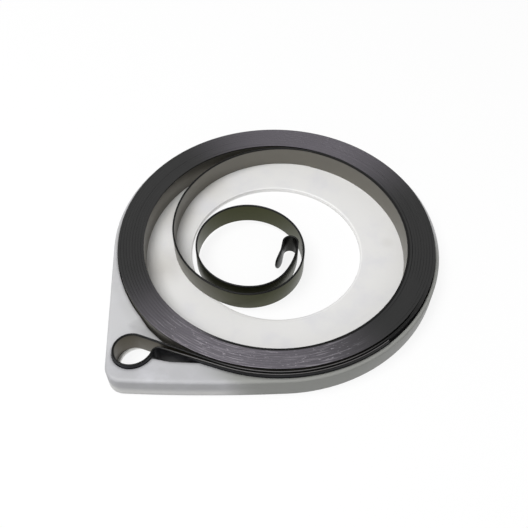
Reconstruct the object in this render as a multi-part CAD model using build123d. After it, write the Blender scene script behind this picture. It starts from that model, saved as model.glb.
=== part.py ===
"""Recoil starter spring: a long steel strip wound into an open nylon cassette.

The ring of the cassette is centred on the Z axis and its underside lies on z = 0.
The corner that anchors the outer end of the strip points to -X and -Y.
Seen from above, the strip runs clockwise from the hook in the middle out to the eye in the corner.
"""
from build123d import *

import os
from dataclasses import dataclass
from math import acos, atan2, copysign, cos, degrees, hypot, radians, sin, sqrt

# Steel strip
strip_thickness = 0.55
strip_width = 6.7

# Packed turns: outside radius of the pack, and the gap between its turns at the sides,
# which is wider at the back and narrower at the front
packed_turns = 9
pack_radius = 45.0
turn_gap = 0.259
back_gap_more = 0.057
front_gap_less = 0.165
outer_turn_gap = 0.575
shoulder_drop = 6.75
left_shoulder_angle = 60.0
right_shoulder_angle = 75.0

# Free run from the pack to the coil: how far open each bend still is, and its angle
release_gap = 0.103
free_run_bends = [(1.0, 100.0), (0.972, 61.5), (0.745, 110.0), (0.433, 70.0)]

# Coil: how much tighter than its widest bend each bend is, and its angle, then a flatter stretch
coil_radius = 16.5
coil_bends = [(1.0, 95.0), (0.0, 95.0), (2.3, 64.5), (1.4, 131.5), (4.6, 50.5)]
coil_end_radius = 20.7
coil_end_turn = 31.1

# Hook at the inner end
hook_radius = 2.05
hook_turn = 173.0
hook_leg_length = 2.7
hook_flare_radius = 5.0
hook_flare_turn = 47.0
hook_tip_flat = 0.7

# Eye and tail at the outer end
eye_angle = 227.8
eye_ring_gap = 3.06
eye_radius = 4.525
throat_radius = 5.7
throat_bend_radius = 1.5
throat_gap = 0.778
tail_end_angle = 41.0
tail_wall_clearance = 0.12
tail_turn_gap = 0.205

# Nylon cassette
ring_clearance = 0.45
ring_wall = 1.0
floor_thickness = 1.3
cassette_height = 6.6
hub_hole_radius = 24.75
eye_wall = 1.0
corner_shift_x = 1.4
corner_shift_y = 3.9
front_side_radius = 435.0
rim_chamfer = 0.4
foot_chamfer = 0.3

# Pocket for the eye and recess for the tail
pocket_clearance = 0.2
eye_hole_shift_x = 1.0
eye_hole_shift_y = 0.1
eye_hole_margin = 0.175
recess_tip_angle = 13.75
recess_depth = 2.45
recess_bend_share = 0.22
recess_bend_radius = 5.0
recess_close_share = 0.65
recess_close_radius = 1.5
lug_tip_radius = 0.4

# Lead-in beside the eye, where the ring wall is lower
lead_in_drop = 1.4
lead_in_width = 4.0
lead_in_angle = 8.3
lead_in_sweep = 17.5

# What follows from the sizes above; a turn's radius is that of the middle of the strip
half_strip = strip_thickness / 2
half_width = strip_width / 2
outer_turn_radius = pack_radius - half_strip
ring_bore_radius = pack_radius + ring_clearance
ring_outer_radius = ring_bore_radius + ring_wall
tail_room = half_strip + tail_wall_clearance
tail_radius = ring_bore_radius - tail_room
outer_turn_front_radius = tail_radius - strip_thickness - tail_turn_gap
pack_front_radius = outer_turn_front_radius - strip_thickness - outer_turn_gap
pocket_room = half_strip + pocket_clearance
eye_reach = ring_bore_radius + eye_ring_gap + half_strip + eye_radius
eye_x = eye_reach * cos(radians(eye_angle))
eye_y = eye_reach * sin(radians(eye_angle))
corner_x = eye_x - corner_shift_x
corner_y = eye_y - corner_shift_y
corner_radius = eye_radius + pocket_room + eye_wall - corner_shift_x
hook_corner_radius = half_width - hook_tip_flat / 2
cutter_height = 2 * cassette_height


@dataclass
class Bend:
    """An arc of the middle line of the strip, in degrees; the sweep is positive to the left."""

    x: float
    y: float
    radius: float
    start: float
    sweep: float

    def point(self, share):
        angle = radians(self.start + self.sweep * share)
        return self.x + self.radius * cos(angle), self.y + self.radius * sin(angle)

    def reverse(self):
        return Bend(self.x, self.y, self.radius, self.start + self.sweep, -self.sweep)

    def edge(self, offset):
        """The edge that lies the given distance to the left of the middle line."""
        radius = self.radius - offset if self.sweep > 0 else self.radius + offset
        return CenterArc((self.x, self.y), radius, self.start, self.sweep)


@dataclass
class Run:
    """A straight stretch of the middle line of the strip."""

    x0: float
    y0: float
    x1: float
    y1: float

    def point(self, share):
        return self.x0 + (self.x1 - self.x0) * share, self.y0 + (self.y1 - self.y0) * share

    def reverse(self):
        return Run(self.x1, self.y1, self.x0, self.y0)

    def edge(self, offset):
        length = hypot(self.x1 - self.x0, self.y1 - self.y0)
        dx = -(self.y1 - self.y0) / length * offset
        dy = (self.x1 - self.x0) / length * offset
        return Line((self.x0 + dx, self.y0 + dy), (self.x1 + dx, self.y1 + dy))


def bend_on(x, y, heading, radius, turn):
    """Continue from a point and a heading with an arc; return it with the new point and heading."""
    side = 1 if turn > 0 else -1
    centre_x = x - side * radius * sin(radians(heading))
    centre_y = y + side * radius * cos(radians(heading))
    bend = Bend(centre_x, centre_y, radius, heading - side * 90, turn)
    end_x, end_y = bend.point(1)
    return bend, end_x, end_y, heading + turn


def half_turn(front, back, side_radius, shoulder_angle):
    """Half a packed turn from the front of the pack to the back, on the +X side.

    The back is an arc about the Y axis, the front is an arc about another centre on that axis,
    and a shoulder joins the two. It is tighter than both where the front is the flatter one.
    """
    main_y = back - side_radius
    sense = copysign(1, side_radius - main_y - front)
    drop = sense * shoulder_drop
    shoulder = side_radius - drop
    shoulder_x = drop * sin(radians(shoulder_angle))
    shoulder_y = main_y - drop * cos(radians(shoulder_angle))
    reach = front - shoulder
    front_y = (shoulder_x**2 + shoulder_y**2 - reach**2) / (2 * (reach + shoulder_y))
    front_angle = degrees(atan2(sense * shoulder_x, sense * (front_y - shoulder_y)))
    return [
        Bend(0, front_y, front + front_y, -90, front_angle),
        Bend(shoulder_x, shoulder_y, shoulder, front_angle - 90, shoulder_angle - front_angle),
        Bend(0, main_y, side_radius, shoulder_angle - 90, 180 - shoulder_angle),
    ]


def mirrored(bends):
    """The same half turn on the -X side, run from the back to the front."""
    flipped = [Bend(-b.x, b.y, b.radius, 180 - b.start, -b.sweep) for b in bends]
    return [b.reverse() for b in reversed(flipped)]


def pack_front(turn):
    """Radius of a turn at the front of the pack, where the outermost one stands apart."""
    if turn == 0:
        return outer_turn_front_radius
    return pack_front_radius - (turn - 1) * (strip_thickness + turn_gap - front_gap_less)


def pack_back(turn):
    """Radius of a turn at the back of the pack."""
    return outer_turn_radius - turn * (strip_thickness + turn_gap + back_gap_more)


def pack_side(turn):
    """Radius of a turn at the sides of the pack."""
    return outer_turn_radius - turn * (strip_thickness + turn_gap)


def packed_path():
    """The outermost turn and the packed turns inside it, from the front point inwards."""
    path = []
    for turn in range(packed_turns):
        back, side = pack_back(turn), pack_side(turn)
        path += half_turn(pack_front(turn), back, side, right_shoulder_angle)
        path += mirrored(half_turn(pack_front(turn + 1), back, side, left_shoulder_angle))
    return path


def inner_bends():
    """Radius and turn of each bend from the pack inwards, down to the hook."""
    opening = pack_side(packed_turns - 1) - strip_thickness - release_gap - coil_radius
    free_run = [(coil_radius + share * opening, turn) for share, turn in free_run_bends]
    coil = [(coil_radius - drop, turn) for drop, turn in coil_bends]
    return free_run + coil + [(coil_end_radius, coil_end_turn), (hook_radius, hook_turn)]


def inner_path():
    """The free run, the coil and the hook, from the innermost packed turn to the tip."""
    path = []
    x, y, heading = 0.0, -pack_front(packed_turns), 0.0
    for radius, turn in inner_bends():
        bend, x, y, heading = bend_on(x, y, heading, radius, turn)
        path.append(bend)
    leg_x = x + hook_leg_length * cos(radians(heading))
    leg_y = y + hook_leg_length * sin(radians(heading))
    path.append(Run(x, y, leg_x, leg_y))
    path.append(bend_on(leg_x, leg_y, heading, hook_flare_radius, -hook_flare_turn)[0])
    return path


def eye_run():
    """The straight run that leaves the front arc of the outermost turn and touches the eye."""
    front = half_turn(outer_turn_front_radius, outer_turn_radius, outer_turn_radius, left_shoulder_angle)[0]
    dx = eye_x - front.x
    dy = eye_y - front.y
    lean = acos((front.radius + eye_radius) / hypot(dx, dy))
    angle = atan2(dy, dx) + lean
    start = front.x + front.radius * cos(angle), front.y + front.radius * sin(angle)
    end = eye_x - eye_radius * cos(angle), eye_y - eye_radius * sin(angle)
    return front, degrees(angle) % 360, Run(*start, *end)


def throat_turn(leave):
    """Turn of the throat, after which the strip comes back just clear of the straight run."""
    lean = leave - 90
    throat_reach = eye_radius + (throat_radius - eye_radius) * cos(radians(lean))
    bend_reach = throat_bend_radius + strip_thickness + throat_gap
    return lean - degrees(acos((throat_reach - bend_reach) / (throat_radius + throat_bend_radius)))


def tail_run(bend_x, bend_y):
    """The straight run from the bend behind the eye to the arc along the ring wall."""
    lean = acos((tail_radius + throat_bend_radius) / hypot(bend_x, bend_y))
    angle = atan2(bend_y, bend_x) + lean
    start = bend_x - throat_bend_radius * cos(angle), bend_y - throat_bend_radius * sin(angle)
    end = tail_radius * cos(angle), tail_radius * sin(angle)
    return degrees(angle) % 360, Run(*start, *end)


def outer_path():
    """The run to the eye, the eye and the tail, from the front point outwards."""
    front, leave, run = eye_run()
    path = [Bend(front.x, front.y, front.radius, 270, leave - 270), run]
    loop_start = leave - 180
    path.append(Bend(eye_x, eye_y, eye_radius, loop_start, 270 - loop_start))
    throat, x, y, heading = bend_on(eye_x, eye_y - eye_radius, 0.0, throat_radius, throat_turn(leave))
    path.append(throat)
    bend_x = x + throat_bend_radius * sin(radians(heading))
    bend_y = y - throat_bend_radius * cos(radians(heading))
    tail_angle, tail = tail_run(bend_x, bend_y)
    turn = tail_angle - 180 - (heading + 90)
    path.append(Bend(bend_x, bend_y, throat_bend_radius, heading + 90, turn))
    path.append(tail)
    path.append(Bend(0, 0, tail_radius, tail_angle, 270 + tail_end_angle - tail_angle))
    return path


def strip_path():
    """The whole middle line of the strip, from the end of the tail to the tip of the hook."""
    outer = [piece.reverse() for piece in reversed(outer_path())]
    return outer + packed_path() + inner_path()


def spring_strip():
    """The steel strip, standing on edge on the cassette floor."""
    path = strip_path()
    left = [piece.edge(half_strip) for piece in path]
    right = [piece.edge(-half_strip) for piece in path]
    caps = [Line(left[0] @ 0, right[0] @ 0), Line(left[-1] @ 1, right[-1] @ 1)]
    outline = Face(Wire(left + right + caps))
    strip = extrude(Pos(0, 0, floor_thickness) * outline, amount=strip_width, dir=(0, 0, 1))
    return strip - tip_waste(path[-1])


def tip_waste(flare):
    """What is blanked off the square end of the hook to give it two rounded corners."""
    tip_x, tip_y = flare.point(1)
    heading = radians(flare.start + flare.sweep - 90)
    end = Plane(
        origin=(tip_x, tip_y, floor_thickness + half_width),
        x_dir=(cos(heading), sin(heading), 0),
        z_dir=(sin(heading), -cos(heading), 0),
    )
    blank = Rectangle(2 * hook_corner_radius, 2 * strip_width)
    tongue = Pos(-strip_width, 0) * RectangleRounded(2 * strip_width, strip_width, hook_corner_radius)
    return extrude(end * (blank - tongue), amount=hook_flare_radius / 2, both=True)


def cassette_outline():
    """Teardrop outline: the ring and one rounded corner, joined by a straight and a bowed side."""
    span = hypot(corner_x, corner_y)
    towards_corner = atan2(corner_y, corner_x)
    lean = acos((ring_outer_radius - corner_radius) / span)
    straight_side = degrees(towards_corner - lean) % 360

    ring_reach = front_side_radius - ring_outer_radius
    corner_reach = front_side_radius - corner_radius
    bow = acos((ring_reach**2 + span**2 - corner_reach**2) / (2 * ring_reach * span))
    bow_x = ring_reach * cos(towards_corner - bow)
    bow_y = ring_reach * sin(towards_corner - bow)
    ring_end = degrees(atan2(-bow_y, -bow_x)) % 360
    corner_end = degrees(atan2(corner_y - bow_y, corner_x - bow_x)) % 360

    ring = CenterArc((0, 0), ring_outer_radius, ring_end, straight_side + 360 - ring_end)
    corner = CenterArc((corner_x, corner_y), corner_radius, straight_side, corner_end - straight_side)
    side = Line(ring @ 1, corner @ 0)
    front = CenterArc((bow_x, bow_y), front_side_radius, corner_end, ring_end - corner_end)
    return Face(Wire([ring, side, corner, front]))


def recess_wall(throat_end):
    """Wall behind the tail: it leaves the throat, closes in on the tail and runs on to the bore."""
    tail = outer_path()[-2]
    bend = tail.edge(-recess_depth) @ recess_bend_share
    close = tail.edge(-tail_room) @ recess_close_share
    bore_start = tail.edge(-tail_room) @ 1
    return FilletPolyline(
        throat_end, bend, close, bore_start, radius=[recess_bend_radius, recess_close_radius]
    )


def cavity_outline():
    """The open inside: the bore of the ring with the pocket for the eye and the recess beside it."""
    front, leave, run = eye_run()
    throat_y = eye_y - eye_radius + throat_radius
    tip_angle = throat_turn(leave) - recess_tip_angle
    loop_start = leave - 180
    eye_room = CenterArc((eye_x, eye_y), eye_radius + pocket_room, loop_start, 270 - loop_start)
    throat_room = CenterArc((eye_x, throat_y), throat_radius + pocket_room, 270, tip_angle)
    recess = recess_wall(throat_room @ 1)
    bore_start = polar_angle(recess @ 1)
    lug_tip = lug_tip_point(front, leave)
    bore = CenterArc((0, 0), ring_bore_radius, bore_start, polar_angle(lug_tip) + 360 - bore_start)
    far = Line(lug_tip, run.edge(-pocket_room) @ 1)
    cavity = Face(Wire([bore, far, eye_room, throat_room, *recess.edges()]))
    lug_corner = cavity.vertices().sort_by_distance(lug_tip)[0]
    return fillet(lug_corner, lug_tip_radius)


def polar_angle(point):
    """Angle of a point about the Z axis, from 0 to 360 degrees."""
    return degrees(atan2(point.Y, point.X)) % 360


def lug_tip_point(front, leave):
    """Where the far wall of the pocket meets the bore of the ring."""
    angle = radians(leave)
    distance = front.radius - pocket_room + front.y * sin(angle)
    along = sqrt(ring_bore_radius**2 - distance**2)
    return Vector(
        distance * cos(angle) + along * sin(angle),
        distance * sin(angle) - along * cos(angle),
    )


def lead_in():
    """Wedge that lowers the ring wall beside the eye; it runs out on the top of the corner."""
    top = cassette_height
    profile = Polyline(
        (ring_bore_radius - ring_wall, 0, top - lead_in_drop),
        (ring_bore_radius, 0, top - lead_in_drop),
        (ring_bore_radius + lead_in_width, 0, top),
        (ring_bore_radius + lead_in_width, 0, top + lead_in_drop),
        (ring_bore_radius - ring_wall, 0, top + lead_in_drop),
        close=True,
    )
    wedge = revolve(make_face(profile), Axis.Z, revolution_arc=lead_in_sweep)
    return Rot(0, 0, eye_angle - lead_in_angle) * wedge


def cassette():
    """The moulded nylon tray: floor, ring wall and solid corner, open at the top and the hub."""
    body = extrude(cassette_outline(), amount=cassette_height)
    body = chamfer(body.faces().sort_by(Axis.Z)[-1].edges(), rim_chamfer)
    body = chamfer(body.faces().sort_by(Axis.Z)[0].edges(), foot_chamfer)
    body -= extrude(Pos(0, 0, floor_thickness) * cavity_outline(), amount=cassette_height)
    body -= Cylinder(hub_hole_radius, cutter_height)
    eye_hole = Cylinder(eye_radius + eye_hole_margin, cutter_height)
    body -= Pos(eye_x + eye_hole_shift_x, eye_y + eye_hole_shift_y) * eye_hole
    body -= lead_in()
    return body


os.makedirs("parts", exist_ok=True)
export_step(cassette(), "parts/cassette.step")
export_step(spring_strip(), "parts/spring_strip.step")
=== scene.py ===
"""Looks of a recoil starter spring: a long blued steel strip wound into an open nylon cassette."""
import logging
import math
from dataclasses import dataclass, field
from enum import Enum
from typing import Any

import bmesh
import bpy
import numpy as np
from mathutils import Matrix, Vector


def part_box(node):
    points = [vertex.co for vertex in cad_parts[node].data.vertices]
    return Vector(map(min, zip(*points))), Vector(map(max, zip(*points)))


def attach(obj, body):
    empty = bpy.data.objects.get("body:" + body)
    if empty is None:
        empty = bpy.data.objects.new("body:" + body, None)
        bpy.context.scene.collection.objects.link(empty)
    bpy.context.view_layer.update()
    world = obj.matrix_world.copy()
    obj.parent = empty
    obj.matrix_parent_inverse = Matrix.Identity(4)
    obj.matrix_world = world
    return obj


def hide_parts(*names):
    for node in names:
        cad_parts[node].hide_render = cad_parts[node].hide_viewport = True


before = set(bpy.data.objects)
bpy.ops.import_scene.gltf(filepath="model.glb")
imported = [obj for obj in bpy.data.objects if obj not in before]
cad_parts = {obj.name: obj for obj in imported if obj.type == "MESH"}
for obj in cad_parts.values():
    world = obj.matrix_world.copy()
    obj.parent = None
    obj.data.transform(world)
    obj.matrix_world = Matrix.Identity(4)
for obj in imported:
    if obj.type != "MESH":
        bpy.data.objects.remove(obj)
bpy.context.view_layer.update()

MM = 0.001
TOUCH = 0.001 * MM
BODY = "root"

Number = float | int
Colour = tuple[float, float, float]
Place = tuple[float, float, float]
Plan = tuple[float, float]
Range = tuple[float, float]
Points = np.ndarray

logging.basicConfig(level=logging.INFO, format="%(message)s")
log = logging.getLogger("recoil_spring")


class Slot(Enum):
    """Material slots of the part."""

    NYLON = "nylon"
    SPRING_STEEL = "spring_steel"


class Level(Enum):
    """The two long edges of the strip as it stands in the cassette."""

    TOP = 1
    FOOT = -1


@dataclass(frozen=True)
class Value:
    """One output of a shader node; arithmetic on it adds Math nodes."""

    graph: "Graph"
    socket: bpy.types.NodeSocket

    def _math(self, operation: str, *terms: "Value | Number") -> "Value":
        """Add a Math node.

        Args:
            operation: name of the operation.
            terms: its inputs, in order.

        Returns:
            The result of the node.
        """
        return self.graph.node("ShaderNodeMath", {"operation": operation}, dict(enumerate(terms)))

    def __add__(self, other: "Value | Number") -> "Value":
        """Sum."""
        return self._math("ADD", self, other)

    def __radd__(self, other: Number) -> "Value":
        """Sum with a number on the left."""
        return self._math("ADD", other, self)

    def __sub__(self, other: "Value | Number") -> "Value":
        """Difference."""
        return self._math("SUBTRACT", self, other)

    def __rsub__(self, other: Number) -> "Value":
        """Difference from a number on the left."""
        return self._math("SUBTRACT", other, self)

    def __mul__(self, other: "Value | Number") -> "Value":
        """Product."""
        return self._math("MULTIPLY", self, other)

    def __rmul__(self, other: Number) -> "Value":
        """Product with a number on the left."""
        return self._math("MULTIPLY", other, self)

    def __truediv__(self, other: "Value | Number") -> "Value":
        """Quotient."""
        return self._math("DIVIDE", self, other)

    def __rtruediv__(self, other: Number) -> "Value":
        """Quotient with a number on the left."""
        return self._math("DIVIDE", other, self)

    def __pow__(self, other: "Value | Number") -> "Value":
        """Power."""
        return self._math("POWER", self, other)

    def larger(self, other: "Value | Number") -> "Value":
        """The larger of two values."""
        return self._math("MAXIMUM", self, other)

    def step(self, low: Number, high: Number) -> "Value":
        """Rise smoothly from 0 to 1.

        Args:
            low: where the rise starts.
            high: where it ends; below low, the value falls instead.

        Returns:
            The share of the rise.
        """
        if low > high:
            return 1 - self.step(high, low)
        settings = {"interpolation_type": "SMOOTHSTEP", "clamp": True}
        inputs = {"Value": self, "From Min": low, "From Max": high}
        return self.graph.node("ShaderNodeMapRange", settings, inputs)

    def between(self, begins: Range, ends: Range) -> "Value":
        """Rise from 0 to 1 over the first range and fall back to 0 over the second."""
        return self.step(*begins) * self.step(*ends)


@dataclass
class Graph:
    """The node tree of a material or of the world."""

    tree: bpy.types.NodeTree

    def node(
        self,
        kind: str,
        settings: dict[str, Any] | None = None,
        inputs: dict[str | int, Any] | None = None,
        output: str | int = 0,
    ) -> Value:
        """Add a node.

        Args:
            kind: type name of the node.
            settings: its properties.
            inputs: values or links, by the name or number of the socket.
            output: name or number of the output that is returned.

        Returns:
            The chosen output.
        """
        made = self.tree.nodes.new(kind)
        for name, setting in (settings or {}).items():
            setattr(made, name, setting)
        for key, given in (inputs or {}).items():
            socket = made.inputs[key]
            if isinstance(given, Value):
                self.tree.links.new(given.socket, socket)
            elif isinstance(given, tuple) and socket.type == "RGBA":
                socket.default_value = (*given, 1.0)
            else:
                socket.default_value = given
        return Value(self, made.outputs[output])

    def blend(self, share: Value | Number, first: Any, second: Any) -> Value:
        """Mix two colours.

        Args:
            share: 0 gives the first colour and 1 the second.
            first: a colour or link.
            second: a colour or link.

        Returns:
            The mixed colour.
        """
        settings = {"data_type": "RGBA", "clamp_factor": True}
        return self.node("ShaderNodeMix", settings, {"Factor": share, 6: first, 7: second}, 2)

    def seen(self) -> Value:
        """1 for what the camera sees, also in a mirror or through glass."""
        rays = [
            self.node("ShaderNodeLightPath", output=f"Is {kind} Ray")
            for kind in ("Camera", "Glossy", "Transmission")
        ]
        return rays[0].larger(rays[1]).larger(rays[2])

    def place(self) -> Value:
        """Position on the piece, in metres."""
        return self.node("ShaderNodeTexCoord", output="Object")

    def reach(self, place: Value, x: float = 0.0, y: float = 0.0) -> Value:
        """Distance in plan from the axis of the ring, or from another upright axis."""
        across = self.axis(place, 0) - x
        ahead = self.axis(place, 1) - y
        return (across * across + ahead * ahead) ** 0.5

    def towards(self, place: Value, x: float, y: float) -> Value:
        """Cosine of the angle about the axis between a place and a direction."""
        return (self.axis(place, 0) * x + self.axis(place, 1) * y) / self.reach(place)

    def axis(self, vector: Value, axis: int) -> Value:
        """One component of a vector."""
        return self.node("ShaderNodeSeparateXYZ", inputs={0: vector}, output=axis)

    def vector(self, x: Value | Number, y: Value | Number, z: Value | Number = 0.0) -> Value:
        """A vector from three components."""
        return self.node("ShaderNodeCombineXYZ", inputs={0: x, 1: y, 2: z})

    def noise(self, vector: Value, size: float, detail: float = 3.0, rough: float = 0.55) -> Value:
        """Cloudy noise from 0 to 1.

        Args:
            vector: where it is read.
            size: rough size of a cloud, in the units of the vector.
            detail: number of finer layers.
            rough: strength of the finer layers.

        Returns:
            The noise.
        """
        inputs = {"Vector": vector, "Scale": 1 / size, "Detail": detail, "Roughness": rough}
        return self.node("ShaderNodeTexNoise", {"noise_dimensions": "3D"}, inputs)

    def soft_edges(self, radius: float) -> Value:
        """A normal that turns gradually across the edges within a radius in metres."""
        return self.node("ShaderNodeBevel", {"samples": 8}, {"Radius": radius})

    def bump(self, height: Value, depth: float, normal: Value | None = None) -> Value:
        """A normal from a height between 0 and 1.

        Args:
            height: the height.
            depth: real height of the value 1, in metres.
            normal: the normal that it bends; the surface's own if there is none.

        Returns:
            The normal.
        """
        inputs = {"Distance": depth, "Height": height}
        if normal:
            inputs["Normal"] = normal
        return self.node("ShaderNodeBump", {}, inputs)

    def shader(self, **inputs: Any) -> None:
        """Link a Principled shader to a new output node.

        Args:
            inputs: socket values, with underscores in place of spaces.
        """
        named = {name.replace("_", " "): given for name, given in inputs.items()}
        self.close(self.node("ShaderNodeBsdfPrincipled", {}, named))

    def close(self, surface: Value, output: str = "ShaderNodeOutputMaterial") -> None:
        """Link a shader to a new output node."""
        made = self.tree.nodes.new(output)
        self.tree.links.new(surface.socket, made.inputs["Surface"])


def new_graph(owner: bpy.types.Material | bpy.types.World) -> Graph:
    """Switch a material or the world to nodes and empty its tree.

    Args:
        owner: the material or world.

    Returns:
        Its graph.
    """
    owner.use_nodes = True
    owner.node_tree.nodes.clear()
    return Graph(owner.node_tree)


@dataclass(frozen=True)
class DarkPatch:
    """A soft grey mark on the nylon, in millimetres of the plan."""

    x: float
    y: float
    radius: float
    strength: float


@dataclass(frozen=True)
class NylonFinish:
    """Natural white nylon, a little darker in soft patches, with painted shade on the plate and a painted
    glow in its holes; the dark strip shows through its narrow outer wall, which painted shade darkens
    further towards the front right.
    """

    base: Colour = (0.75, 0.745, 0.735)
    # painted shade: the plate is the same nylon as the floor, darker here and darker still at the front
    plate_painted_shade: Colour = (0.525, 0.525, 0.535)
    plate_front_painted_shade: Colour = (0.435, 0.435, 0.450)
    patch_colour: Colour = (0.50, 0.48, 0.44)
    shade: Colour = (0.64, 0.64, 0.68)
    shade_range: Range = (0.45, 0.75)
    shade_share: float = 0.45
    # the steel behind the ring's wall darkens it a little all round; the stronger darkening towards the
    # front right is painted shade
    wall_steel_and_shade: Colour = (0.262, 0.266, 0.250)
    wall_shade_towards: Plan = (0.6, -0.8)
    wall_shade_range: Range = (0.50, 0.72)
    thin_least: float = 0.15
    # painted glow: the walls of the holes emit light, standing in for the table's light shining through the
    # nylon
    painted_glow: Colour = (0.34, 0.34, 0.33)
    painted_glow_least: float = 0.3
    dark: Colour = (0.0, 0.0, 0.0)
    roughness: float = 0.37
    grain_roughness: float = 0.10
    grain_size: float = 0.35 * MM
    grain_depth: float = 0.006 * MM
    cloud_size: float = 9 * MM
    edge_softness: float = 1.3 * MM
    floor_level: float = 1.3 * MM
    raised_level: Range = (1.3 * MM, 4.0 * MM)
    low_level: Range = (1.3 * MM, 0.2 * MM)
    front_y: Range = (-37 * MM, -45 * MM)
    wall_begins: Range = (45.1 * MM, 45.2 * MM)
    wall_ends: Range = (49.6 * MM, 46.6 * MM)
    hub_hole: Range = (25.4 * MM, 25.1 * MM)
    eye_hole: Range = (4.9 * MM, 4.8 * MM)
    eye_hole_axis: Plan = (-34.8 * MM, -39.4 * MM)
    patch_contrast: float = 1.4
    patch_least: float = 0.3
    dark_patches: tuple[DarkPatch, ...] = (
        DarkPatch(-33.0, -8.0, 10.0, 0.55),
        DarkPatch(-30.0, 12.0, 9.0, 0.45),
        DarkPatch(-22.0, 25.0, 9.0, 0.45),
        DarkPatch(33.0, 4.0, 3.0, 0.20),
    )

    def material(self) -> bpy.types.Material:
        """Make the material."""
        made = bpy.data.materials.new("moulded_nylon")
        graph = new_graph(made)
        place = graph.place()
        clouds = graph.noise(place, self.cloud_size, detail=4.0)
        grain = graph.noise(place, self.grain_size, detail=2.0)
        graph.shader(
            Base_Color=self._colour(graph, place, clouds),
            # painted glow on the walls of the hub opening and the eye hole
            Emission_Color=graph.blend(self._painted_glow_mask(graph, place), self.dark, self.painted_glow),
            Emission_Strength=1.0,
            Roughness=grain * self.grain_roughness + self.roughness,
            IOR=1.5,
            Normal=graph.bump(grain, self.grain_depth, normal=graph.soft_edges(self.edge_softness)),
        )
        return made

    def _colour(self, graph: Graph, place: Value, clouds: Value) -> Value:
        """Colour of the nylon, from the floor of the tray to the plate, which carries painted shade that
        grows darker towards its front.

        Args:
            graph: the graph of the material.
            place: position on the piece.
            clouds: large soft noise.

        Returns:
            The colour.
        """
        # painted shade on the raised plate, darkest towards the front
        front = graph.axis(place, 1).step(*self.front_y)
        raised = graph.axis(place, 2).step(*self.raised_level)
        colour = graph.blend(raised, self.base, graph.blend(front, self.plate_painted_shade, self.plate_front_painted_shade))
        colour = graph.blend(clouds.step(*self.shade_range) * self.shade_share, colour, self.shade)
        colour = graph.blend(self._patch_mask(graph, place, clouds), colour, self.patch_colour)
        return graph.blend(self._wall_steel_and_shade_mask(graph, place), colour, self.wall_steel_and_shade)

    def _painted_glow_mask(self, graph: Graph, place: Value) -> Value:
        """Walls of the two round holes, given a painted glow that stands for the table's light shining
        through the nylon.

        Args:
            graph: the graph of the material.
            place: position on the piece.

        Returns:
            The mask, which is full at the foot.
        """
        hub = graph.reach(place).step(*self.hub_hole)
        eye = graph.reach(place, *self.eye_hole_axis).step(*self.eye_hole)
        low = graph.axis(place, 2).step(*self.low_level)
        return hub.larger(eye) * (low * (1 - self.painted_glow_least) + self.painted_glow_least)

    def _wall_steel_and_shade_mask(self, graph: Graph, place: Value) -> Value:
        """Share of the ring's outer wall, where the steel behind it darkens the nylon, and where painted
        shade darkens it further towards the front right.

        Args:
            graph: the graph of the material.
            place: position on the piece.

        Returns:
            The mask.
        """
        # painted shade: the wall is darkened most on the side that faces the front right
        side = graph.towards(place, *self.wall_shade_towards).step(*self.wall_shade_range)
        ring = graph.reach(place).between(self.wall_begins, self.wall_ends)
        return ring * (side * (1 - self.thin_least) + self.thin_least)

    def _patch_mask(self, graph: Graph, place: Value, clouds: Value) -> Value:
        """Strength of the soft darker patches on the floor of the tray.

        Args:
            graph: the graph of the material.
            place: position on the piece.
            clouds: large soft noise that breaks the edges up.

        Returns:
            The mask.
        """
        settings = {"operation": "DISTANCE"}
        mask = clouds * 0
        for patch in self.dark_patches:
            centre = (patch.x * MM, patch.y * MM, self.floor_level)
            reach = graph.node("ShaderNodeVectorMath", settings, {0: place, 1: centre}, "Value")
            mask = mask.larger(reach.step(patch.radius * MM, 0) * patch.strength)
        return mask * (clouds * self.patch_contrast + self.patch_least)


@dataclass(frozen=True)
class StripPoint:
    """What the shader knows of a point on the strip."""

    place: Value
    height: Value
    along: Value
    side: Value
    up: Value
    streaks: Value
    length: float

    def near_tip(self, span: Range) -> Value:
        """Rise from 0 to 1 between two distances from the tip of the hook."""
        return self.along.step(self.length - span[0], self.length - span[1])


@dataclass(frozen=True)
class Glints:
    """One kind of painted glint on the edges; the smaller lengthwise is, the longer it gets."""

    lengthwise: float
    offset: float
    size: float
    detail: float
    cover: Range
    strength: float


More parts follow.
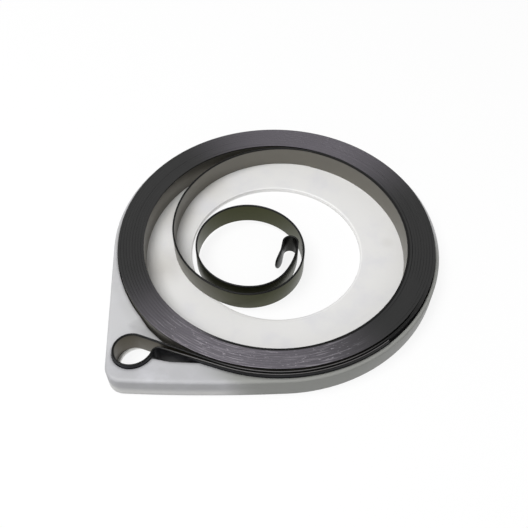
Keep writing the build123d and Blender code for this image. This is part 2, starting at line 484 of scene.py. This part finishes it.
@dataclass(frozen=True)
class SteelFinish:
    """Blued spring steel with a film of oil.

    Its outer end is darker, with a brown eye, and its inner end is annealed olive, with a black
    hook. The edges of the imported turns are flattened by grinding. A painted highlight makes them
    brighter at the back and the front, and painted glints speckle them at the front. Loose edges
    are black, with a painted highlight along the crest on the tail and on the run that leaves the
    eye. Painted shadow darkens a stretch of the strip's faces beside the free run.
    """

    face: Colour = (0.168, 0.160, 0.140)
    outer_face: Colour = (0.022, 0.022, 0.026)
    eye_face: Colour = (0.085, 0.075, 0.055)
    # painted shadow: darkens the strip's faces where the free run shades the pack
    free_run_shadow: Colour = (0.028, 0.027, 0.024)
    annealed: Colour = (0.045, 0.048, 0.020)
    hook: Colour = (0.010, 0.010, 0.008)
    scuffed: Colour = (0.20, 0.19, 0.19)
    scuff_range: Range = (0.55, 0.8)
    scuff_share: float = 0.15
    packed_edge: Colour = (0.026, 0.026, 0.026)
    # painted highlight: the packed edges are made brighter towards the back and the front, where the light
    # catches them
    highlit_edge: Colour = (0.106, 0.098, 0.112)
    highlight_towards: Plan = (0.208, 0.978)
    highlight_range: Range = (0.25, 1.0)
    # painted glints: bright specks on the packed edges at the front
    glint: Colour = (0.38, 0.36, 0.39)
    glint_towards: Plan = (-0.10, -0.995)
    glint_range: Range = (0.72, 0.92)
    glints: tuple[Glints, ...] = (
        Glints(0.25, 0.0, 0.35 * MM, 2.0, (0.62, 0.70), 0.55),
        Glints(0.05, 1.0, 0.40 * MM, 1.0, (0.56, 0.66), 0.30),
    )
    loose_edge: Colour = (0.005, 0.005, 0.005)
    # painted highlight: a light line along the crest of the loose edge on the tail and on the run from the
    # eye
    crest_highlight: Colour = (0.12, 0.115, 0.115)
    edge_tilt: Range = (0.08, 0.35)
    crest_tilt: Range = (0.97, 0.995)
    black_level: Range = (7.45 * MM, 7.75 * MM)
    metallic: float = 0.75
    roughness: float = 0.23
    streak_roughness: float = 0.16
    blotch_roughness: float = 0.10
    blotch_size: float = 5 * MM
    streak_length: float = 9 * MM
    streak_width: float = 0.12 * MM
    streak_depth: float = 0.004 * MM
    before_eye: Range = (64 * MM, 52 * MM)
    eye_begins: Range = (60 * MM, 72 * MM)
    eye_ends: Range = (112 * MM, 100 * MM)
    eye_inside: Range = (-0.5, 0.5)
    after_eye: Range = (106 * MM, 118 * MM)
    crest_highlight_ends: Range = (158 * MM, 140 * MM)
    outer_face_ends: Range = (195 * MM, 165 * MM)
    packed_begins: Range = (160 * MM, 178 * MM)
    packed_ends: Range = (2450 * MM, 2432 * MM)
    free_run_shadow_begins: Range = (2216 * MM, 2228 * MM)
    free_run_shadow_ends: Range = (2310 * MM, 2250 * MM)
    annealed_from_tip: Range = (167 * MM, 125 * MM)
    hook_from_tip: Range = (18 * MM, 15 * MM)

    def material(self, length: float) -> bpy.types.Material:
        """Make the material.

        Args:
            length: length of the strip, in metres.

        Returns:
            The material.
        """
        made = bpy.data.materials.new("blued_spring_steel")
        graph = new_graph(made)
        point = self._point(graph, length)
        black = point.height.step(*self.black_level)
        colour = graph.blend(black, self._face_colour(graph, point), self.loose_edge)
        colour = graph.blend(point.up.step(*self.edge_tilt), colour, self._edge_colour(graph, point))
        blotches = graph.noise(graph.vector(point.along, point.height), self.blotch_size)
        rough = point.streaks * self.streak_roughness + blotches * self.blotch_roughness
        graph.shader(
            Base_Color=colour,
            Metallic=self.metallic,
            Roughness=rough + self.roughness,
            Normal=graph.bump(point.streaks, self.streak_depth),
        )
        return made

    def _point(self, graph: Graph, length: float) -> StripPoint:
        """Read a point of the strip.

        Args:
            graph: the graph of the material.
            length: length of the strip, in metres.

        Returns:
            The point.
        """
        place = graph.place()
        height = graph.axis(place, 2)
        along = graph.node("ShaderNodeAttribute", {"attribute_name": "along"}, output="Fac")
        side = graph.node("ShaderNodeAttribute", {"attribute_name": "side"}, output="Fac")
        up = graph.axis(graph.node("ShaderNodeNewGeometry", output="Normal"), 2)
        stretched = graph.vector(along * (self.streak_width / self.streak_length), height)
        streaks = graph.noise(stretched, self.streak_width)
        return StripPoint(place, height, along, side, up, streaks, length)

    def _face_colour(self, graph: Graph, point: StripPoint) -> Value:
        """Colour of the strip's two faces.

        Args:
            graph: the graph of the material.
            point: the point on the strip.

        Returns:
            The colour.
        """
        coil = point.near_tip(self.annealed_from_tip)
        # painted shadow of the free run on the pack
        free_run_shadow = point.along.between(self.free_run_shadow_begins, self.free_run_shadow_ends)
        eye = point.along.between(self.eye_begins, self.eye_ends)
        colour = graph.blend(coil, self.face, self.annealed)
        colour = graph.blend(free_run_shadow, colour, self.free_run_shadow)
        colour = graph.blend(point.near_tip(self.hook_from_tip), colour, self.hook)
        colour = graph.blend(point.along.step(*self.outer_face_ends), colour, self.outer_face)
        colour = graph.blend(eye * point.side.step(*self.eye_inside), colour, self.eye_face)
        scuffs = point.streaks.step(*self.scuff_range) * coil.step(1, 0) * self.scuff_share
        return graph.blend(scuffs, colour, self.scuffed)

    def _edge_colour(self, graph: Graph, point: StripPoint) -> Value:
        """Colour of the strip's upper edge, packed or loose.

        Args:
            graph: the graph of the material.
            point: the point on the strip.

        Returns:
            The colour.
        """
        along = point.along
        # painted highlight on the packed edges at the back and the front
        highlight = (graph.towards(point.place, *self.highlight_towards) ** 2).step(*self.highlight_range)
        ground_and_highlit = graph.blend(highlight, self.packed_edge, self.highlit_edge)
        # painted glints on the packed edges at the front
        ground_and_highlit = graph.blend(self._glint_mask(graph, point), ground_and_highlit, self.glint)
        off_eye = along.step(*self.after_eye).larger(along.step(*self.before_eye))
        # painted highlight along the crest of the loose edge
        crest = point.up.step(*self.crest_tilt) * off_eye * along.step(*self.crest_highlight_ends)
        loose = graph.blend(crest, self.loose_edge, self.crest_highlight)
        return graph.blend(along.between(self.packed_begins, self.packed_ends), loose, ground_and_highlit)

    def _glint_mask(self, graph: Graph, point: StripPoint) -> Value:
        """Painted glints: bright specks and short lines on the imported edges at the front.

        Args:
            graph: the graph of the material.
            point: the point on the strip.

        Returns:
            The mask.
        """
        reach = graph.reach(point.place)
        mask = reach * 0
        for marks in self.glints:
            where = graph.vector(point.along * marks.lengthwise, reach, marks.offset)
            noise = graph.noise(where, marks.size, marks.detail)
            mask = mask.larger(noise.step(*marks.cover) * marks.strength)
        return mask * graph.towards(point.place, *self.glint_towards).step(*self.glint_range)


@dataclass(frozen=True)
class TableFinish:
    """Plain white table that shows white to the camera and keeps a faint shadow."""

    colour: Colour = (0.95, 0.95, 0.95)
    bounce: Colour = (0.38, 0.38, 0.38)
    white: Colour = (1.0, 1.0, 1.0)
    glow: float = 0.85

    def material(self) -> bpy.types.Material:
        """Make the material."""
        made = bpy.data.materials.new("plain_table")
        graph = new_graph(made)
        matt = graph.node("ShaderNodeBsdfDiffuse", {}, {"Color": self.colour})
        dull = graph.node("ShaderNodeBsdfDiffuse", {}, {"Color": self.bounce})
        white = graph.node("ShaderNodeEmission", {}, {"Color": self.white, "Strength": 1.0})
        shown = graph.node("ShaderNodeMixShader", {}, {0: self.glow, 1: matt, 2: white})
        graph.close(graph.node("ShaderNodeMixShader", {}, {0: graph.seen(), 1: dull, 2: shown}))
        return made


def link_piece(name: str, mesh: bpy.types.Mesh, material: bpy.types.Material) -> bpy.types.Object:
    """Put a mesh into the scene.

    Args:
        name: name of the piece.
        mesh: its mesh.
        material: its finish.

    Returns:
        The new object.
    """
    piece = bpy.data.objects.new(name, mesh)
    bpy.context.scene.collection.objects.link(piece)
    mesh.materials.clear()
    mesh.materials.append(material)
    return piece


@dataclass
class SpringStrip:
    """The steel strip: tail, eye, packed turns, free run, coil and hook, swept with rounded edges."""

    node: str = "spring_strip"
    thickness: float = field(default=0.0, init=False)
    edge_round: float = 0.22 * MM
    corner_points: int = 5
    sharp_angle: float = math.radians(50)
    station_step: float = 1.2 * MM
    tip_round: float = 3.0 * MM
    tip_step: float = 0.2 * MM
    tip_points: int = 6
    edge_wander: float = 0.05 * MM
    wander_waves: tuple[float, ...] = (23 * MM, 8.3 * MM, 61 * MM)
    packed_round: float = 0.05 * MM
    packed_gap: float = 0.45 * MM
    oil_share: float = 0.90
    full_film: float = 0.02 * MM
    neighbour_run: float = 60 * MM
    film_from: float = 165 * MM
    film_smoothing: int = 9
    finish: SteelFinish = field(default_factory=SteelFinish)

    def build(self) -> bpy.types.Object:
        """Build and dress the strip."""
        low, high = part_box(self.node)
        first, second = self._rim_sides(high.z)
        self.thickness = float(np.linalg.norm(first[0] - second[0]))
        line = self._centre_line(first, second)
        mesh, length = self._sweep(line, low.z, high.z)
        piece = link_piece("coiled_steel_strip", mesh, self.finish.material(length))
        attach(piece, BODY)
        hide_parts(self.node)
        return piece

    def _rim_sides(self, level: float) -> tuple[Points, Points]:
        """The two sides of the strip's upper rim, each from the tail to the hook.

        Args:
            level: height of the rim.

        Returns:
            The plan points of the two sides.
        """
        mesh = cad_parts[self.node].data
        places = np.array([v.co for v in mesh.vertices])
        used: dict[tuple[int, int], int] = {}
        for face in mesh.polygons:
            if all(abs(places[v][2] - level) < TOUCH for v in face.vertices):
                for edge in face.edge_keys:
                    used[edge] = used.get(edge, 0) + 1
        neighbours: dict[int, list[int]] = {}
        for (a, b), count in used.items():
            if count == 1:
                neighbours.setdefault(a, []).append(b)
                neighbours.setdefault(b, []).append(a)
        start = next(iter(neighbours))
        loop = [start, neighbours[start][0]]
        while True:
            ahead = [v for v in neighbours[loop[-1]] if v != loop[-2]]
            if ahead[0] == start:
                break
            loop.append(ahead[0])
        outline = places[loop][:, :2]
        return self._split(outline)

    @staticmethod
    def _split(outline: Points) -> tuple[Points, Points]:
        """Split a closed outline at its two short ends.

        Args:
            outline: closed plan outline of the strip.

        Returns:
            The two long sides, each from the tail to the hook.
        """
        ahead = np.roll(outline, -1, axis=0) - outline
        behind = outline - np.roll(outline, 1, axis=0)
        turn = np.abs(
            np.arctan2(
                behind[:, 0] * ahead[:, 1] - behind[:, 1] * ahead[:, 0], (behind * ahead).sum(axis=1)
            )
        )
        corners = sorted(np.argsort(turn)[-4:])
        outline = np.roll(outline, -corners[0], axis=0)
        marks = [c - corners[0] for c in corners] + [len(outline)]
        spans = [outline[marks[i] : marks[i + 1] + 1] for i in range(3)]
        spans.append(np.vstack([outline[marks[3] :], outline[:1]]))
        spans.sort(key=len)
        sides = []
        for side in spans[-2:]:
            inwards = np.linalg.norm(side[0]) > np.linalg.norm(side[-1])
            sides.append(side if inwards else side[::-1])
        return sides[0], sides[1]

    def _centre_line(self, first: Points, second: Points) -> Points:
        """The middle line of the strip, smoothly divided, from the tail to the tip of the hook.

        Args:
            first: one side of the rim.
            second: the other side.

        Returns:
            Plan points of the middle line.
        """
        tangents = self._tangents(first)
        normals = np.stack([-tangents[:, 1], tangents[:, 0]], axis=1)
        if ((second[0] - first[0]) * normals[0]).sum() < 0:
            normals = -normals
        middle = first + normals * (self.thickness / 2)
        points = []
        for i in range(len(middle) - 1):
            chord = float(np.linalg.norm(middle[i + 1] - middle[i]))
            parts = max(1, math.ceil(chord / self.station_step))
            for k in range(parts):
                t = k / parts
                points.append(
                    (2 * t**3 - 3 * t**2 + 1) * middle[i]
                    + (t**3 - 2 * t**2 + t) * chord * tangents[i]
                    + (3 * t**2 - 2 * t**3) * middle[i + 1]
                    + (t**3 - t**2) * chord * tangents[i + 1]
                )
        points.append(middle[-1])
        return np.vstack([np.array(points), self._tip(np.array(points[-self.tip_points :]))])

    @staticmethod
    def _tangents(line: Points) -> Points:
        """Unit tangents along a line; the longer neighbour counts more.

        Args:
            line: plan points.

        Returns:
            One tangent for each point.
        """
        chords = np.diff(line, axis=0)
        tangents = np.vstack([chords[:1], chords[:-1] + chords[1:], chords[-1:]])
        return tangents / np.linalg.norm(tangents, axis=1)[:, None]

    def _tip(self, last: Points) -> Points:
        """Carry the bend at the end of the hook on to its tip.

        Args:
            last: the last few points before the rounded corners.

        Returns:
            The further points.
        """
        chords = np.diff(last, axis=0)
        steps = np.linalg.norm(chords, axis=1)
        headings = np.unwrap(np.arctan2(chords[:, 1], chords[:, 0]))
        curl = (headings[-1] - headings[0]) / (steps.sum() - (steps[0] + steps[-1]) / 2)
        step = self.tip_step
        heading = headings[-1] + curl * (steps[-1] + step) / 2
        points = []
        place = last[-1]
        for _ in range(round(self.tip_round / step)):
            place = place + step * np.array([math.cos(heading), math.sin(heading)])
            heading += curl * step
            points.append(place)
        return np.array(points)

    def _swell(self, line: Points, along: Points) -> Points:
        """Film of oil on each side of the strip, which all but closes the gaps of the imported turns.

        Args:
            line: plan points of the middle line.
            along: distance of each point from the tail.

        Returns:
            Thickness of the film at each point.
        """
        film = np.zeros(len(line))
        for i, place in enumerate(line):
            reach = np.linalg.norm(line - place, axis=1)
            reach[np.abs(along - along[i]) < self.neighbour_run] = np.inf
            gap = reach.min() - self.thickness
            if gap < self.packed_gap and along[i] > self.film_from:
                film[i] = self.oil_share * gap / 2
        window = np.ones(self.film_smoothing) / self.film_smoothing
        return np.minimum(film, np.convolve(film, window, mode="same"))

    def _section(self, foot: float, top: float, half: float, edge: float) -> list[tuple[float, float]]:
        """The rounded section of the strip.

        Args:
            foot: height of its lower edge.
            top: height of its upper edge.
            half: half of its thickness.
            edge: radius of its edges.

        Returns:
            Places across the thickness and heights, once round.
        """
        reach = half - edge
        corners = [
            (reach, top - edge, 0),
            (-reach, top - edge, 90),
            (-reach, foot + edge, 180),
            (reach, foot + edge, 270),
        ]
        ring = []
        for across, height, start in corners:
            for k in range(self.corner_points):
                angle = math.radians(start + 90 * k / (self.corner_points - 1))
                ring.append((across + edge * math.cos(angle), height + edge * math.sin(angle)))
        return ring

    def _edge_height(self, level: Level, extreme: float, middle: float, along: float, left: float) -> float:
        """Height of one long edge of the strip at a place along it.

        Args:
            level: which edge it is.
            extreme: its height where the strip is whole.
            middle: height of the middle of the strip.
            along: distance from the tail.
            left: distance that is left to the tip.

        Returns:
            The height.
        """
        half = abs(extreme - middle)
        if left < self.tip_round:
            half -= self.tip_round - math.sqrt(self.tip_round**2 - (self.tip_round - left) ** 2)
        if level is Level.TOP:
            waves = sum(math.sin(along / wave + phase) for phase, wave in enumerate(self.wander_waves))
            half -= self.edge_wander * (0.5 + waves / (2 * len(self.wander_waves)))
        return middle + level.value * half

    def _sweep(self, line: Points, foot: float, top: float) -> tuple[bpy.types.Mesh, float]:
        """Sweep the section along the middle line.

        Args:
            line: plan points of the middle line.
            foot: height of the lower edge.
            top: height of the upper edge.

        Returns:
            The mesh and the length of the strip.
        """
        steps = np.linalg.norm(np.diff(line, axis=0), axis=1)
        along = np.concatenate([[0.0], np.cumsum(steps)])
        tangents = self._tangents(line)
        swell = self._swell(line, along)
        middle = (foot + top) / 2
        verts: list[Place] = []
        runs: list[float] = []
        sides: list[float] = []
        for place, tangent, run, more in zip(line, tangents, along, swell):
            left = max(0.0, along[-1] - run)
            low = self._edge_height(Level.FOOT, foot, middle, run, left)
            high = self._edge_height(Level.TOP, top, middle, run, left)
            edge = self.edge_round + (self.packed_round - self.edge_round) * min(1.0, more / self.full_film)
            for across, height in self._section(low, high, self.thickness / 2 + more, edge):
                verts.append((place[0] + tangent[1] * across, place[1] - tangent[0] * across, height))
                runs.append(run)
                sides.append(2 * across / self.thickness)
        mesh = bpy.data.meshes.new("coiled_steel_strip")
        mesh.from_pydata(verts, [], self._faces(len(verts)))
        mesh.attributes.new("along", "FLOAT", "POINT").data.foreach_set("value", runs)
        mesh.attributes.new("side", "FLOAT", "POINT").data.foreach_set("value", sides)
        mesh.shade_smooth()
        mesh.set_sharp_from_angle(angle=self.sharp_angle)
        mesh.update()
        return mesh, float(along[-1])

    def _faces(self, count: int) -> list[tuple[int, ...]]:
        """Faces of the swept strip, closed at both ends.

        Args:
            count: number of its vertices.

        Returns:
            The vertices of each face.
        """
        ring = 4 * self.corner_points
        faces: list[tuple[int, ...]] = [tuple(range(ring))]
        for base in range(0, count - ring, ring):
            for k in range(ring):
                after = (k + 1) % ring
                faces.append((base + after, base + k, base + ring + k, base + ring + after))
        faces.append(tuple(reversed(range(count - ring, count))))
        return faces


@dataclass
class Cassette:
    """The moulded nylon tray, with its sharp edges softened as the mould leaves them."""

    node: str = "cassette"
    edge_round: float = 0.22 * MM
    sharp_angle: float = math.radians(25)
    even_angle: float = math.radians(0.1)
    level_normal: float = 0.999
    flat_area: float = 40 * MM**2
    lead_in_angle: float = math.radians(219.5)
    lead_in_margin: float = math.radians(0.4)
    lead_in_level: Range = (4.2 * MM, 5.4 * MM)
    lead_in_ease: float = math.radians(4)
    finish: NylonFinish = field(default_factory=NylonFinish)

    def build(self) -> bpy.types.Object:
        """Build and dress the cassette."""
        shape = bmesh.new()
        shape.from_mesh(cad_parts[self.node].data)
        bmesh.ops.remove_doubles(shape, verts=shape.verts, dist=TOUCH)
        self._ease_lead_in(shape)
        bmesh.ops.dissolve_limit(
            shape, angle_limit=self.even_angle, verts=shape.verts, edges=shape.edges, delimit={"NORMAL"}
        )
        sharp = [e for e in shape.edges if e.is_manifold and e.calc_face_angle() > self.sharp_angle]
        bmesh.ops.bevel(
            shape, geom=sharp, offset=self.edge_round, offset_type="OFFSET", segments=3, profile=0.5,
            affect="EDGES", clamp_overlap=True, loop_slide=False,
        )
        mesh = bpy.data.meshes.new("nylon_cassette")
        shape.to_mesh(mesh)
        shape.free()
        mesh.shade_smooth()
        mesh.set_sharp_from_angle(angle=self.sharp_angle)
        for face in mesh.polygons:
            if abs(face.normal.z) > self.level_normal or face.area > self.flat_area:
                face.use_smooth = False
        piece = link_piece("nylon_cassette", mesh, self.finish.material())
        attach(piece, BODY)
        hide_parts(self.node)
        return piece

    def _ease_lead_in(self, shape: bmesh.types.BMesh) -> None:
        """Slope the start of the lead-in, which the solid begins with a step.

        Args:
            shape: the cassette, which is changed.
        """
        low, high = self.lead_in_level
        for vert in shape.verts:
            angle = math.atan2(vert.co.y, vert.co.x) % math.tau
            at_start = abs(angle - self.lead_in_angle) < self.lead_in_margin
            if at_start and low < vert.co.z < high:
                vert.co.rotate(Matrix.Rotation(self.lead_in_ease, 3, "Z"))


@dataclass(frozen=True)
class Softbox:
    """A square area lamp aimed at the middle of the part, in metres and watts."""

    name: str
    place: Place
    size: float
    power: float
    colour: Colour = (1.0, 1.0, 1.0)

    def build(self) -> None:
        """Hang the lamp."""
        lamp = bpy.data.lights.new(self.name, "AREA")
        lamp.shape = "SQUARE"
        lamp.size = self.size
        lamp.energy = self.power
        lamp.color = self.colour
        holder = bpy.data.objects.new(self.name, lamp)
        holder.location = self.place
        holder.rotation_euler = (-Vector(self.place)).to_track_quat("-Z", "Y").to_euler()
        bpy.context.scene.collection.objects.link(holder)


@dataclass
class Studio:
    """Camera, lamps, sky and table."""

    camera_place: Place = (0.0, -125.4 * MM, 155.4 * MM)
    camera_target: Place = (-3.22 * MM, -10.88 * MM, 8.0 * MM)
    camera_roll: float = math.radians(0.77)
    lens: float = 45.95
    clip: Range = (1 * MM, 10.0)
    sky: Colour = (1.0, 1.0, 1.0)
    sky_strength: float = 0.30
    table_size: float = 60.0
    finish: TableFinish = field(default_factory=TableFinish)
    lamps: tuple[Softbox, ...] = (
        Softbox("key_softbox", (-0.28, -0.12, 0.75), 0.50, 5.3),
        Softbox("front_softbox", (0.10, -0.70, 0.45), 0.60, 1.2),
    )

    def build(self) -> None:
        """Build the whole studio."""
        self._camera()
        self._world()
        self._table()
        for lamp in self.lamps:
            lamp.build()
        bpy.context.scene.view_settings.view_transform = "Standard"

    def _camera(self) -> None:
        """Place the camera where the photograph was taken from."""
        data = bpy.data.cameras.new("camera")
        data.lens = self.lens
        data.clip_start, data.clip_end = self.clip
        camera = bpy.data.objects.new("camera", data)
        aim = (Vector(self.camera_target) - Vector(self.camera_place)).to_track_quat("-Z", "Y")
        turned = aim.to_matrix().to_4x4() @ Matrix.Rotation(self.camera_roll, 4, "Z")
        camera.matrix_world = Matrix.Translation(self.camera_place) @ turned
        bpy.context.scene.collection.objects.link(camera)
        bpy.context.scene.camera = camera

    def _world(self) -> None:
        """Even white surroundings."""
        world = bpy.data.worlds.new("studio")
        bpy.context.scene.world = world
        graph = new_graph(world)
        light = graph.node("ShaderNodeBackground", {}, {"Color": self.sky, "Strength": self.sky_strength})
        white = graph.node("ShaderNodeBackground", {}, {"Color": self.sky, "Strength": 1.0})
        shown = graph.node("ShaderNodeMixShader", {}, {0: graph.seen(), 1: light, 2: white})
        graph.close(shown, "ShaderNodeOutputWorld")

    def _table(self) -> None:
        """Lay the table under the part."""
        half = self.table_size / 2
        mesh = bpy.data.meshes.new("table")
        corners = [(-half, -half, 0.0), (half, -half, 0.0), (half, half, 0.0), (-half, half, 0.0)]
        mesh.from_pydata(corners, [], [(0, 1, 2, 3)])
        table = link_piece("table", mesh, self.finish.material())


def main() -> None:
    """Build the part and the studio in order."""
    for part in (Cassette(), SpringStrip()):
        piece = part.build()
        log.info("%s: %d faces", piece.name, len(piece.data.polygons))
    studio = Studio()
    studio.build()
    log.info("studio: %d lamps", len(studio.lamps))


if __name__ == "__main__":
    main()
